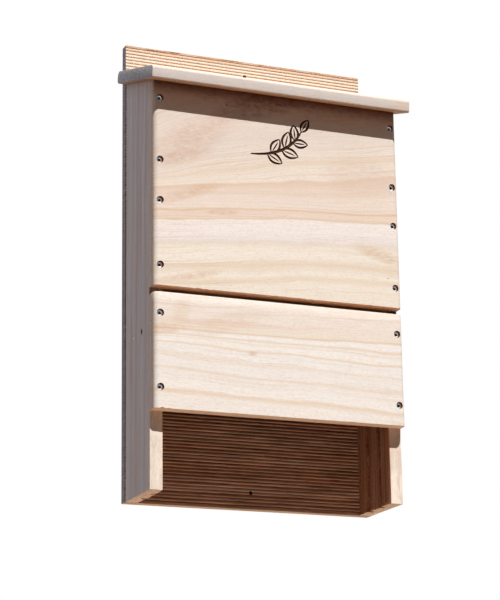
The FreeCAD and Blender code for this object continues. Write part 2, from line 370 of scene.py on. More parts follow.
def planed_poplar(name, along, across, reach, bends, layers, figures=(), line_depth=0.5,
                  end_tones=("#BE9874", "#F2DEC4"), streak=0.0, exposed=False,
                  sawn_and_bounce=("#D08E62", "#F8BC90"), corner=None, lines=("#DEBA9A", "#DCB89A")):
    """Planed poplar. along and across are axis numbers, reach the half length of the board.

    layers give the colour at each height, and corner is the (start height, end height,
    colour) of painted shade in a corner under another board.
    """
    material = bpy.data.materials.new(name)
    add = adder(material)
    axes = measure(add)
    deep = 3 - along - across

    def cloud(height, fine_along, fine_across, fine_deep, detail=3.0, rough=0.55, shift=0.0):
        """Grains at a height across the board, with the given lengths in millimetres."""
        spot, sizes, move = list(axes), [fine_along] * 3, [0.0] * 3
        spot[across], sizes[across] = height, fine_across
        sizes[deep], move[deep] = fine_deep, shift
        return grains(add, spot, sizes, detail, rough, move)

    height = curved_height(add, axes, along, across, reach, bends)
    slow = cloud(axes[across], 130.0, 26.0, 40.0, detail=2.0)
    quick = cloud(axes[across], 45.0, 9.0, 12.0, detail=2.0, shift=7.0)
    for warp, size in ((slow, 12.0), (quick, 4.0)):
        warp = add("Math", [warp, size, -size / 2], operation="MULTIPLY_ADD")
        height = add("Math", [height, warp], operation="ADD")

    # Broad bands of sapwood and heartwood
    low, high = min(layers), max(layers)
    share = add("MapRange", [height, low, high])
    colour = add("ValToRGB", [share], stops=[
        ((level - low) / (high - low), tone) for level, tone in layers.items()])

    fleck = cloud(axes[across], 8.0, 3.0, 6.0, detail=5.0, rough=0.7, shift=3.0)
    flecked = add("MapRange", [fleck, 0.38, 0.62, 0.3, 1.0])
    coats = figure_coats(add, axes, along, across, flecked, figures)

    # Growth lines, one set 6 to 8 mm apart and a finer one between them, that fade in and out
    presence = add("MapRange", [slow, 0.35, 0.6, 0.35, 1.0])
    for spacing, threshold, tone in ((6.5, 0.6, lines[0]), (2.0, 0.57, lines[1])):
        rings = cloud(height, 700.0, spacing, 60.0, detail=2.0, shift=11.0 + spacing)
        line = add("MapRange", [rings, threshold, threshold + 0.09, 0.0, line_depth])
        coats.append((add("Math", [line, presence], operation="MULTIPLY"), tone))

    # Ray flecks, 2 to 4 mm long and a little pinker than the wood round them
    speck = cloud(height, 4.5, 1.5, 2.0, detail=2.0, rough=0.7, shift=41.0)
    coats.append((add("MapRange", [speck, 0.48, 0.66, 0.0, 0.4]), "#E8CAB2"))

    # Fibres, seven times their real width
    fibre = cloud(height, 34.0, 0.7, 0.7, detail=4.0, rough=0.6, shift=19.0)
    coats.append((add("MapRange", [fibre, 0.25, 0.75, 0.91, 1.07]), None))

    # Pores cut open by the planer, as short dark dashes
    pore = cloud(height, 5.0, 0.45, 0.45, detail=1.0, shift=31.0)
    dash = add("MapRange", [pore, 0.66, 0.78, 0.0, 0.35])
    coats.append((dash, "#A87E5C"))

    # Streaks along the grain, 1 to 3 mm wide, that weather has brought out
    if streak:
        band = cloud(height, 160.0, 1.6, 40.0, rough=0.7, shift=53.0)
        light = add("MapRange", [band, 0.3, 0.7, 1.0 - streak, 1.0 + streak / 2])
        coats.append((light, None))

    # Painted shade: the wood darkens towards the corner under another board
    if corner:
        start, end, tone = corner
        painted_shade = add("MapRange", [axes[across], start, end, 0.0, 0.9],
                   interpolation_type="SMOOTHSTEP")
        coats.append((painted_shade, tone))

    coats += other_faces(add, axes, along, fibre, end_tones, sawn_and_bounce, exposed)
    colour = coated(add, colour, coats)
    relief = add("Math", [dash, -2.0, fibre], operation="MULTIPLY_ADD")
    shine = add("MapRange", [fibre, 0.2, 0.8, 0.72, 0.58])
    wood_surface(add, colour, shine, 0.12, relief, 0.35, 0.0002)
    print(name, "has", len(material.node_tree.nodes), "nodes")
    return material


# %% [markdown]
# The upper front shows the arcs of a board sawn near the outside of the log: the lines
# climb steeply from the left and flatten to the right, with a creamy band of sapwood below
# the orange ones. Heights are above the middle of the box. The bends are two lines read
# along the board, one for the upper half and one for the lower.

# %% Poplar for the two fronts
half_board = 170.0
upper_poplar = planed_poplar(
    "upper_front_poplar", 0, 2, half_board,
    bends=[(0.0, [(-170, -27), (170, 0), (-50, -14), (0, -8), (80, -2)]),
           (72.0, [(-170, -82), (170, 0), (-140, -67), (-100, -50), (-60, -40), (0, -27),
                   (80, -15)])],
    layers={-60: "#F3E7D5", -28: "#F5EBDA", -21: "#EDDCC4", -15: "#F7EEDF", -3: "#EBD9C1",
            3: "#F6ECDC", 14: "#F7EEDF", 22: "#F4E9D8", 26: "#EBDFD0", 30: "#F2E9E1",
            39: "#F8EFE8", 49: "#F8EFE7", 54: "#F7EEE4", 55.5: "#E3C7A6", 57.5: "#F2E2D2",
            62: "#EEDAC6", 66: "#F2E1D0", 68: "#E2C4A1", 70.5: "#F3E4D5", 93: "#F1E2D3",
            100: "#ECD9C6", 107: "#EFDDCB", 119: "#E8D0B9", 123: "#F4E8D8", 137: "#F3E7D7",
            145: "#ECDBC5", 154: "#F1E6D8", 180: "#EADDCF", 215: "#EFE2D4", 250: "#E9D9CB",
            300: "#EBDCD0"},
    figures=[(-112, 140, 66, 28, 0.45, "#D6B29C", 0.6),
             (-125, 112, 50, 11, 0.35, "#CFA688", 0.55), (-115, 68, 52, 10, 0.38, "#D8AF88", 0.6),
             (135, 14, 44, 11, -0.22, "#D2B08A", 0.65), (-115, -36, 50, 6, 0.22, "#D8B492", 0.6),
             # The patch at height 224, wider than the board, is painted shade for the roof's
             # shadow.
             (-75, 47, 26, 4, 0.1, "#D0A07C", 0.6), (0, 224, 400, 52, 0.0, "#AE8468", 0.9),
             (-20, 192, 80, 22, 0.3, "#8E6248", 0.6), (-118, 186, 30, 16, -0.2, "#E8D2C2", 0.5),
             (-67.7, 186.3, 2.0, 2.0, 0.0, "#4A2E20", 1.0),
             (110, 115, 62, 34, 0.0, "#DCC2B0", 0.45),
             (144.3, -14.3, 1.4, 1.4, 0.0, "#6A4630", 1.0)],
    # The corner band is painted shade, darkest just under the roof.
    corner=(186.0, 208.0, "#5E3424"))
lower_poplar = planed_poplar(
    "lower_front_poplar", 0, 2, half_board,
    bends=[(0.0, [(-170, 11), (170, 0), (0, 5)]),
           (-107.0, [(-170, -15), (170, 0), (0, -8)])],
    layers={-210: "#F4ECE1", -192: "#F6EFE5", -186: "#EBD7BE", -182: "#F7F1E7", -164: "#F5EEE5",
            -161: "#EDDCC7", -158: "#F6F1E9", -144: "#F4ECE2", -142: "#EFE3D2", -139: "#F6F1E8",
            -129: "#F5EFE8", -126.6: "#ECD9C0", -124: "#F8F2E8", -117: "#F8F3EB", -115: "#EFE1CC",
            -113: "#F8F4EC", -109: "#EDDBC4", -106: "#F8F4EE", -100: "#F7F2E8", -98: "#E8CFB2",
            -95: "#F2E6D5", -87: "#F3E7D8", -72: "#F4E9DC", -40: "#F5ECE0"},
    figures=[(-152, -104, 44, 9, 0.12, "#D6B086", 0.6), (-128, -80, 16, 18, 0.3, "#E0C09C", 0.5),
             (-38, -125, 8, 4, 0.0, "#C9A583", 0.6), (-70, -90, 64, 16, 0.35, "#E2C8B0", 0.5)],
    line_depth=0.35, sawn_and_bounce=("#D4B598", "#F6D7BD"))

# %% [markdown]
# The sides are cut from the same stock but stand upright, so their grain runs up the box.
# Their inner faces get darker, browner tones of their own, as painted shade for the dark
# inside of the chambers. The roof is one more poplar board with its grain across the front.
# It has stood in the open longest, so its tones are a little greyer than those of the fronts.

# %% Poplar for the sides and the roof
side_poplar = planed_poplar(
    "side_poplar", 2, 1, 300.0,
    bends=[(0.0, [(-300, 6), (300, -6), (0, 2)])],
    layers={-112: "#FBEDDB", -98: "#FAEBD8", -94: "#EEE3D7", -88: "#E2D1C1", -80: "#EEE4D9",
            -70: "#E6D7C9", -66: "#EBDFD4", -58: "#DCC8B4", -50: "#ECE1D4", -40: "#E2D2C2",
            -30: "#EEE4D8", -20: "#E0CFBE", -8: "#EDE3D7"},
    figures=[(60, -70, 90, 5, 0.0, "#C4A088", 0.5), (-120, -35, 70, 6, 0.0, "#C8A890", 0.45),
             # The last patch is painted shade: the front edge is darkened where it shows through
             # the gap between the fronts.
             (-55.3, -101.6, 7, 1.6, 0.0, "#2E180E", 3.3)],
    end_tones=("#9A6E4A", "#FFE6C8"), streak=0.2, sawn_and_bounce=None)
# Painted shade: the inner faces are darker, browner copies of the side's wood, for the dark inside
# of the box.
painted_shade_inner_poplar = planed_poplar(
    "inner_side_poplar_painted_shade", 2, 1, 300.0,
    bends=[(0.0, [(-300, 6), (300, -6), (0, 2)])],
    layers={-112: "#CD997A", -92: "#A86C48", -84: "#C89270", -72: "#B57753", -60: "#CB9575",
            -48: "#A76A45", -36: "#C58F6C", -22: "#B17551", -8: "#C89372"}, streak=0.45, sawn_and_bounce=None)
roof_poplar = planed_poplar(
    "roof_poplar", 0, 1, half_board,
    bends=[(0.0, [(-170, 4), (170, -5), (0, 0)])],
    layers={-150: "#DDD4CC", -134: "#E0D7CE", -120: "#E9DCCD", -112: "#DECAB5", -104: "#E9DED1",
            -86: "#E3D5C4", -78: "#D6C1AA", -66: "#E5D9CA", -44: "#DFD0BE", -30: "#E7DBCD",
            0: "#E2D4C4"},
    end_tones=("#7C7C7C", "#DEDAD4"), exposed=True, sawn_and_bounce=("#A87A54", "#DAA47A"))

# %% [markdown]
# The back board's hidden face is a veneer peeled from a softwood log, which shows long
# lines of grain. It has stood against a damp wall, so it has gone greyish brown.

# %% Back veneer
back_veneer = planed_poplar(
    "plywood_back_veneer", 0, 2, half_board,
    bends=[(-60.0, [(-170, -9), (170, 4), (-105, -3), (-30, 5), (45, 1), (110, 6)]),
           (130.0, [(-170, 5), (170, -8), (-90, 1), (-10, -4), (60, 3), (120, -1)])],
    layers={-330: "#D2C0AC", -262: "#CDBAA4", -205: "#D4C3B0", -150: "#CCB8A2", -96: "#D2C0AC",
            -40: "#CBB6A0", 20: "#D2C0AC", 78: "#CDBAA4", 140: "#D4C3B0", 204: "#CCB8A2",
            262: "#D2C0AC", 330: "#CDBAA4"},
    line_depth=0.6, lines=("#A08468", "#B09880"), streak=0.12, sawn_and_bounce=None)

# %% [markdown]
# A bored hole shows the cut ends of fibres, so the counterbores are browner than the face.
# The carved lines are burnt: heat turns the sugars in the wood to char, nearly black at
# the bottom of the cut and brown at its rim, where the flame only passed.

# %% Bored and scorched wood


def cut_wood(name, dark, pale, grain):
    """Wood that a tool has opened, blotched between two tones."""
    material = bpy.data.materials.new(name)
    add = adder(material)
    blotch = grains(add, measure(add), [grain] * 3, 4.0)
    colour = add("ValToRGB", [blotch], stops=[(0.3, dark), (0.7, pale)])
    wood_surface(add, colour, 0.8, 0.1, blotch, 0.5, 0.0002)
    return material


bored_wood = cut_wood("bored_poplar", "#8A5230", "#C48A58", 1.6)
# Painted light: pale walls for the top mounting bore, so the hole reads less dark.
bore_painted_light = cut_wood("plywood_bore_painted_light", "#C08A5A", "#ECC8A0", 1.6)
scorched_and_shaded_wood = cut_wood("scorched_and_shaded_poplar", "#23140C", "#5A3620", 2.2)
print("cut wood:", bored_wood.name, bore_painted_light.name, scorched_and_shaded_wood.name)

# %% [markdown]
# The back board and the two baffles are softwood plywood. Its face veneer is pale, but the
# saw kerfs go through it into the next ply, which is orange-brown, and a third finish
# shows the layers on the sawn edges. The same recipe, browner, does the wood inside the
# box as painted shade for its dark chambers, and greyer, the weathered ends. The kerfs are
# real grooves in the mesh, so most of the shade in them is cast by the light; above the
# roof they are painted lighter, as painted light for the sun bounced into them.

# %% Plywood
ply_thickness = 2.54
worn_above = 245.0
torn_above, torn_fade = 285.0, 3.5
worn_fade = 15.0


def plywood(name, low, high, streak, line=0.35, weathered_and_painted_light="#FBF6F2", edge=None):
    """Softwood ply with long streaks. edge is the tone of every other layer of a sawn edge."""
    material = bpy.data.materials.new(name)
    add = adder(material)
    axes = measure(add)
    long_grain = grains(add, axes, (streak, 3.0, 1.6), 5.0, 0.65)
    colour = add("ValToRGB", [long_grain], stops=[(0.32, low), (0.66, high)])
    wide = grains(add, axes, (55.0, 30.0, 4.1), 3.0)
    coats = [(add("MapRange", [wide, 0.3, 0.7, 0.62, 1.2]), None)]
    if edge:
        layer = add("Math", [axes[1], 2 * ply_thickness], operation="FLOORED_MODULO")
        coats.append((add("Math", [layer, ply_thickness], operation="GREATER_THAN"), edge))
    coats.append((add("MapRange", [long_grain, 0.40, 0.30, 0.0, line]), "#7B4A28"))
    # Above the roof the front has faded, and the topmost land is torn down to browner wood
    # For the kerfs, the faded tone above the roof is painted light for the sun bounced into them.
    front = add("MapRange", [axes[1], -4.0, -8.0])
    for start, end, share, tone in ((worn_above - worn_fade, worn_above, 0.85, weathered_and_painted_light),
                                    (torn_above, torn_above + torn_fade, 0.5, "#BC8961")):
        faded = add("MapRange", [axes[2], start, end, 0.0, share])
        coats.append((add("Math", [faded, front], operation="MULTIPLY"), tone))
    colour = coated(add, colour, coats)
    wood_surface(add, colour, 0.78, 0.1, long_grain, 0.5, 0.0003)
    return material


ply_face = plywood("plywood_face_veneer", "#CEA288", "#F1D0B8", 60.0, weathered_and_painted_light="#EBE1D1")
# The kerfs' tone above the roof is painted light: it is lighter than the kerf wood, for sun
# bounced into the kerfs.
ply_kerf = plywood("plywood_kerf", "#945A3A", "#D29A6E", 25.0, line=0.6, weathered_and_painted_light="#EBC096")
# Painted shade: the wood inside the box is a darker, browner copy of the same plywood.
chamber_ply_painted_shade = plywood("plywood_chamber_face_painted_shade", "#6A4830", "#9A7450", 60.0)
ply_edge = plywood("plywood_edge", "#DCC6AA", "#F2E4D2", 12.0, weathered_and_painted_light="#E4DCD4",
                   edge="#C09A74")
ply_end = plywood("plywood_weathered_end", "#A9A6A4", "#DAD8D4", 12.0, weathered_and_painted_light="#B4B6BA",
                  edge="#8C8684")
chamber_ply_edge_painted_shade = plywood("plywood_chamber_edge_painted_shade", "#8E6A4A", "#B8926C", 12.0, edge="#7A5636")
print("plywood in six finishes")

# %% [markdown]
# The screws are zinc plated steel, which is duller and bluer than chrome, and the nails
# are bright steel that has begun to dull. Metals keep the default IOR: the metallic value
# alone tells the shader to tint its reflections with the base colour.

# %% Steel


def steel(name, dark, pale, rough):
    """Plated or bright steel with a soft cloud of handling marks, 2.4 mm across."""
    material = bpy.data.materials.new(name)
    add = adder(material)
    place = add("TexCoord").outputs["Object"]
    marks = add("TexNoise", {"Vector": place, "Scale": 420.0, "Detail": 3.0})
    colour = add("ValToRGB", [marks], stops=[(0.3, dark), (0.7, pale)])
    worn = add("MapRange", [marks, 0.3, 0.7, rough + 0.12, rough])
    metal = add("BsdfPrincipled", {"Base Color": colour, "Metallic": 1.0, "Roughness": worn})
    add("OutputMaterial", {"Surface": metal})
    return material


zinc_steel = steel("zinc_plated_steel", "#7E8286", "#B4B8BA", 0.48)
socket_steel = steel("shaded_socket_steel", "#23272A", "#3C4144", 0.55)
bright_steel = steel("bright_steel", "#8B8680", "#C5C0B8", 0.3)
print("steel:", zinc_steel.name, socket_steel.name, bright_steel.name)

# %% [markdown]
# Every screw and nail is turned on the same lathe function: (radius, depth) points spun
# about an axis. The square socket of the screws comes from the same loft, because a ring of
# points can be pushed out from a circle to a square. That needs no boolean cut.

# %% The lathe


def driven(at, direction, spin=0.0):
    """Place whose -Z axis runs the way a fastener is driven, with its head at a point."""
    turn = Vector(direction).to_track_quat("-Z", "Y").to_matrix().to_4x4()
    return Matrix.Translation(Vector(at)) @ turn @ Matrix.Rotation(spin, 4, "Z")


def turned(bm, profile, place, flats=32):
    """Turn (radius, depth) points about the place's axis. A third number makes a square ring."""
    rows = []
    for radius, depth, *square in profile:
        row = []
        for i in range(flats):
            angle = 2 * math.pi * (i + 0.5) / flats
            reach = radius / max(abs(math.cos(angle)), abs(math.sin(angle))) if square else radius
            row.append(place @ Vector((reach * math.cos(angle), reach * math.sin(angle), -depth)))
        rows.append(row)
    return loft(bm, rows)


screw_profile = [(0.3, 31.7), (1.5, 27.5), (1.8, 24.0), (1.8, 2.2), (3.55, 0.3), (3.5, 0.1),
                 (3.3, 0.0), (2.9, 0.0), (2.5, 0.25), (1.6, 0.35, 1), (1.4, 0.5, 1),
                 (1.3, 1.8, 1)]
nail_profile = [(0.2, 28.0), (1.1, 25.5), (1.1, 1.3), (2.6, 1.05), (2.8, 0.7), (2.7, 0.25),
                (2.1, 0.0)]
screw_flats = 32
screw_x = 153.9875
screw_y = corners("upper_panel_screws")[0].y
flush = 0.3  # how far a flush head lies under the face


def pairs(y, *heights):
    """A screw head at each side of the box, at each height."""
    return [(side_of * screw_x, y, z) for z in heights for side_of in (-1, 1)]


upper_screws = pairs(screw_y, -25.86, 54.49, 105.29, 184.07)
lower_screws = pairs(screw_y, -173.8, -84.6)
back_screws = pairs(-flush, -232.1, -95.14, 41.83, 178.8)
nail_x, sunk_nail_x, nail_z = 161.725, 159.6, -97.6
rear_nail_y, front_nail_y = -41.275, -73.025
nail_spots = [(-nail_x, rear_nail_y, nail_z), (-sunk_nail_x, front_nail_y, nail_z),
              (nail_x, rear_nail_y, nail_z), (nail_x, front_nail_y, nail_z)]
nail_places = [driven(spot, (-math.copysign(1, spot[0]), 0, 0)) for spot in nail_spots]
into_box, into_front = (0, 1, 0), (0, -1, 0)
print(len(upper_screws) + len(lower_screws), "front screws")

# %% [markdown]
# The roof slopes down to the front at a little over 17 degrees. Points on it are easiest
# to give along the slope and up through the board, so one function turns such a pair into
# depth and height. The same function places the roof's screws and the housing in the back.

# %% The slope of the roof
pitch = math.radians(17.35)
housing_y = -6.35
roof_thickness = 15.875


def underside(y):
    """Height of the roof's underside at a depth."""
    return side_high.z + (y - back_low.y) * math.tan(pitch)


def on_slope(along, up):
    """(y, z) of a point along the underside from the back edge, and up through the board."""
    return (housing_y - along * math.cos(pitch) - up * math.sin(pitch),
            underside(housing_y) - along * math.sin(pitch) + up * math.cos(pitch))


roof_down = (0, math.sin(pitch), -math.cos(pitch))
roof_screws = []
for screw_depth in (-34.7, -79.6):
    head = on_slope((housing_y - screw_depth) / math.cos(pitch), roof_thickness - flush)
    roof_screws += [(side_of * screw_x, *head) for side_of in (-1, 1)]
print("roof underside at its front edge", round(underside(roof_low.y), 1), "mm")

# %% [markdown]
# Holes are cut with one cutter to a board: all its bores are lathe shapes in a single
# mesh, so the slow boolean runs once. Each bore is a hair larger than its screw.

# %% Bores


def bore_all(piece, bores, finish):
    """Cut a list of (place, profile) bores out of a piece."""
    bm = bmesh.new()
    for place, profile in bores:
        turned(bm, profile, place, flats=40)
    cut(piece, new_object("cutter", bm, [finish]))


front_bore = [(4.4, -4.5), (4.4, 0.0), (3.65, 0.0), (1.85, 2.2), (1.85, 32.7)]
flush_bore = [(3.9, -1.3), (3.9, 0.0), (3.65, 0.0), (1.85, 2.2), (1.85, 32.5)]
nail_bore = [(2.85, -3.4), (2.85, 1.1), (1.15, 1.15), (1.15, 28.1)]
mounting_bore = [(2.38, -2.0), (2.38, 16.0)]
front_bores = [(driven(spot, into_box), front_bore) for spot in upper_screws + lower_screws]
back_bores = [(driven(spot, into_front), flush_bore) for spot in back_screws]
roof_bores = [(driven(spot, roof_down), flush_bore) for spot in roof_screws]
print("bores:", len(front_bores), "front,", len(back_bores), "back,", len(roof_bores), "roof")

# %% [markdown]
# The kerfs are cut with a gang of saw blades on one arbor, 4.18 mm apart, so they run dead
# level. The thin lands between them chip where the veneer is weak, and above the roof the
# weather has worn the lips down and torn the topmost land. Each kerf here is six points of
# one section, and every row of the loft moves them by a little noise, so that the lips are
# ragged and no two lands are quite the same.

# %% Kerfed boards
kerf_pitch = 4.18
kerf_half = 0.75
board_kerf, baffle_kerf = 1.9, 1.0  # depths
lip = 0.22
torn_land = 3.0
worn_bite, least_bite = 0.32, 0.16  # shares of the depth
shallow_below, shallow_run, shallow_share = -215.0, 60.0, 0.55  # where feet land


def kerf_face(x, y, direction, z_low, z_high, depth, spacing=1, first=0):
    """(y, z) up a kerfed face at one place along the board. direction is where it looks."""
    lowest = math.ceil((z_low - back_low.z + 2 * kerf_half) / kerf_pitch)
    highest = math.floor((z_high - back_low.z - 2 * kerf_half) / kerf_pitch)
    points = [(y, z_low)]
    for n in range(lowest, highest + 1):
        if n % spacing != first:
            continue
        centre = back_low.z + n * kerf_pitch + wander(x / 60, n * 1.7, y, 0.12)
        worn = centre > worn_above
        half = kerf_half * (0.8 if worn else 1 + wander(n * 7.3, y, 0.5, 1.0))
        ragged = 0.4 if worn else 1.1
        tear = max(0.0, wander(x / 9, n * 2.3, y + 5, 1.0) - 0.2) * ragged
        tear_low = max(0.0, wander(x / 11, n * 3.1, y + 9, 1.0) - 0.25) * ragged
        shallow = shallow_share * max(0.0, min(1.0, (shallow_below - centre) / shallow_run))
        uneven = 1.0 - shallow + wander(n * 5.1, y, 2.5, 0.9)
        bite = depth * (worn_bite if worn else max(least_bite, uneven))
        floor = y - direction * (bite + wander(x / 14, n * 1.3, y + 3, 0.04 if worn else 0.12))
        top, low = centre + half, centre - half
        points += [(y, low - lip - tear_low), (y - direction * lip, low - tear_low * 0.6),
                   (floor, low + (half if worn else 0.05)), (floor, top - 0.05),
                   (y - direction * lip, top + tear * 0.6), (y, top + lip + tear)]
    if z_high > worn_above:
        for rise in (0.8, 1.5, 2.2):
            torn = max(0.0, wander(x / 22, rise, 8.0, 1.6) + wander(x / 4, rise * 2, 3.0, 0.8))
            torn *= 1.0 if -135 < x < 45 else 0.25
            points.append((y - direction * torn, z_high - torn_land + rise))
    return points + [(y, z_high)]


def kerfed_board(name, sections, stations, faces_y, veneer):
    """Loft a kerfed section along x. What lies under the outer planes gets the kerf finish."""
    bm = bmesh.new()
    loft(bm, [[(x, y, z) for y, z in sections(x)] for x in stations])
    bmesh.ops.recalc_face_normals(bm, faces=bm.faces)
    heights = [vert.co.z for vert in bm.verts]
    z_low, z_high = min(heights), max(heights)
    kerf_finish, edge_finish, end_finish, back_finish = 1, 2, 3, 4
    for face in bm.faces:
        centre = face.calc_center_median()
        if abs(face.normal.x) > 0.9 or len(face.verts) > 4:
            face.material_index = end_finish
        elif abs(face.normal.z) > 0.9 and min(centre.z - z_low, z_high - centre.z) < 0.1:
            face.material_index = edge_finish
        elif abs(centre.y) < 0.05:
            face.material_index = back_finish
        elif min(abs(centre.y - y) for y in faces_y) > 0.05:
            face.material_index = kerf_finish
    edge = ply_edge if veneer is ply_face else chamber_ply_edge_painted_shade
    return new_object(name, bm, [veneer, ply_kerf, edge, ply_end, back_veneer])


def back_section(x):
    """The back board's outline at one place along it, from the back face round to the front."""
    top, bottom = back_high.z, back_low.z
    front = kerf_face(x, back_low.y, -1, bottom, top, board_kerf)
    return [(0.0, top), (0.0, 0.0), (0.0, bottom)] + front


back_board = kerfed_board("back_board_kerfed", back_section,
                          steps(back_low.x, back_high.x, 5.0), (back_low.y, 0.0), ply_face)
housing_half, housing_reach = 175.0, 60.0  # both well past the board
bm = bmesh.new()
end_of_roof = [on_slope(along, up) for along, up in (
    (0, 0), (housing_reach, 0), (housing_reach, roof_thickness), (0, roof_thickness))]
loft(bm, [[(x, y, z) for y, z in end_of_roof] for x in (-housing_half, housing_half)])
cut(back_board, new_object("housing", bm, [ply_edge]))
mounting_z = 272.1
top_bore, low_bore = [(driven((0, 0, z), into_front), mounting_bore)
                      for z in (mounting_z, -mounting_z)]
bore_all(back_board, back_bores, bored_wood)
# The top bore's pale walls are painted light.
bore_all(back_board, [top_bore], bore_painted_light)
# Painted shade: the lower mounting bore takes the near-black burnt finish, so the hole reads dark.
bore_all(back_board, [low_bore], scorched_and_shaded_wood)
settle(back_board, "kerfed_plywood", "back_board", smooth=50)

# %% [markdown]
# The two baffles hang in grooves in the sides and split the box into three chambers. They
# are thin, so their kerfs are shallower and staggered between the two faces: a kerf never
# lies straight behind another, and the board stays stiff.

# %% Baffles
for index, node in enumerate(("rear_baffle", "front_baffle")):
    low, high = corners(node)

    def baffle_section(x, low=low, high=high):
        rear = kerf_face(x, high.y, 1, low.z, high.z, baffle_kerf, 2, 0)
        front = kerf_face(x, low.y, -1, low.z, high.z, baffle_kerf, 2, 1)
        return rear + front[::-1]

    baffle = kerfed_board(node + "_kerfed", baffle_section, steps(low.x, high.x, 10.0),
                          (low.y, high.y), chamber_ply_painted_shade)
    pins = [(place, nail_bore) for place in nail_places[index::2]]
    bore_all(baffle, pins, ply_kerf)
    settle(baffle, "kerfed_plywood", node, smooth=50)

# %% [markdown]
# A side is a plank with two dadoes, the grooves that hold the baffles, run from end to end
# on its inner face. Its plan is drawn once and carried up the box, and the last row is
# tilted to meet the roof. At the bottom the saw has left a few splinters by the grooves.
# The outer back arris has been knocked off, so a dark line shows along the joint.

# %% Sides
groove_depth = 4.76
grooves = [(-37.9, -44.65), (-69.65, -76.4)]
inner_x = 146.05
groove_step = 1.2  # between the points beside a groove, where splinters stand
knocked_in, knocked_along = 2.4, 2.8  # the outer back arris
splinter_reach, splinter_size = 9.0, 4.2


def side_plan(sign):
    """(x, y) outline of a side, seen from above."""
    inner, outer = sign * inner_x, -sign * side_low.x
    plan = [(outer - sign * knocked_in, back_low.y), (inner, back_low.y)]
    for y_back, y_front in grooves:
        floor = inner + sign * groove_depth
        plan += [(inner, y_back + groove_step * n) for n in (2, 1, 0)]
        plan += [(floor, y_back), (floor, y_front)]
        plan += [(inner, y_front - groove_step * n) for n in (0, 1, 2)]
    plan += [(inner, side_low.y), (outer, side_low.y)]
    return plan + [(outer, y) for y in (-80.0, -57.0, -35.0, back_low.y - knocked_along)]


def splinter(x, y, z, seed):
    """How far a point near the bottom end of a side is torn: most at the groove edges."""
    near_end = max(0.0, 1 - (z - side_low.z) / splinter_reach)
    near_groove = max(math.exp(-((y - g) / 5.0) ** 2) for pair in grooves for g in pair)
    return near_end * (0.15 + near_groove) * wander(x / 2 + seed, y / 1.2, z / 9, splinter_size)


def ragged_split(spot):
    """A split in the wood round a nail in the left side, torn longer up the grain."""
    bm = bmesh.new()
    rows = []
    for depth, grow in ((-1.0, 1.0), (0.0, 1.0), (1.4, 0.62), (2.6, 0.2)):
        row = []
        for i in range(24):
            angle = 2 * math.pi * i / 24
            c, s = math.cos(angle), math.sin(angle)
            ragged = grow * (1 + wander(c * 2, s * 2, 4.0, 0.25))
            row.append((side_low.x + depth, spot[1] + split_width / 2 * ragged * c,
                        spot[2] + split_length / 2 * ragged * s))
        rows.append(row)
    loft(bm, rows)
    return new_object("split", bm, [bored_wood])


split_width, split_length = 3.4, 8.6
groove_floor = inner_x + groove_depth
torn_rows = (0.0, 0.6, 1.4, 2.6, 4.5, 7.0)
for sign, node in ((-1, "left_side"), (1, "right_side")):
    bm = bmesh.new()
    plan = side_plan(sign)
    heights = [side_low.z + rise for rise in torn_rows] + steps(side_low.z + 20, 200.0, 30.0)
    rows = [[(x + (splinter(x, y, z, sign) if abs(x) < groove_floor + 0.1 else 0.0), y, z)
             for x, y in plan] for z in heights]
    rows.append([(x, y, underside(y)) for x, y in plan])
    loft(bm, rows)
    ease(bm, 0.45)
    for face in bm.faces:
        centre = face.calc_center_median()
        if abs(centre.x) < groove_floor + 0.2 and abs(face.normal.z) < 0.5:
            face.material_index = 1
    side = new_object(node + "_planed", bm, [side_poplar, painted_shade_inner_poplar])
    pins = [(place, nail_bore) for place in nail_places if place.translation.x * sign > 0]
    bore_all(side, front_bores + back_bores + roof_bores + pins, bored_wood)
    if sign < 0:
        cut(side, ragged_split(nail_spots[1]))
    settle(side, "side_board", node)

# %% [markdown]
# The fronts are planed boards with their upright front arrises rounded by a router, a 6 mm
# radius that throws a soft highlight down each end. Their plan is drawn in short steps
# along the board, so the lower edge can be given the small chips that sawing leaves. The
# top of the upper front is bevelled to lie flat under the roof.

# %% Fronts
round_over = 6.35


def front_plan(low, high):
    """(x, y) outline of a front, with its two front arrises rounded over."""
    outline = [(x, high.y) for x in steps(high.x, low.x, 6.0)]
    for side_of, start, end in ((-1, 180, 270), (1, 270, 360)):
        centre_x = side_of * (high.x - round_over)
        for degree in steps(start, end, 15.0):
            angle = math.radians(degree)
            outline.append((centre_x + round_over * math.cos(angle),
                            low.y + round_over + round_over * math.sin(angle)))
        if side_of < 0:
            flat = steps(low.x + round_over, high.x - round_over, 4.0)
            outline += [(x, low.y) for x in flat[1:-1]]
    return outline


def front_board(name, low, high, finish, slope, chips):
    """A front as a mesh. chips are (x, width, depth) bites out of its bottom edge."""
    bm = bmesh.new()
    plan = front_plan(low, high)
    rows = []
    for z in [low.z, low.z + 0.8] + steps(low.z + 4, high.z - 12, 14.0):
        row = []
        for x, y in plan:
            bite = wander(x / 5, y / 4, 2.0, 0.25) if z < low.z + 2 else 0.0
            for chip_x, width, depth in chips:
                edge = max(0.0, 1 - (z - low.z) / 2.0) * (1 if y < (low.y + high.y) / 2 else 0)
                bite += depth * edge * math.exp(-((x - chip_x) / width) ** 2)
            row.append((x, y, z + max(0.0, bite)))
        rows.append(row)
    rows.append([(x, y, underside(y) if slope else high.z) for x, y in plan])
    loft(bm, rows)
    ease(bm, 0.4)
    return new_object(name, bm, [finish])


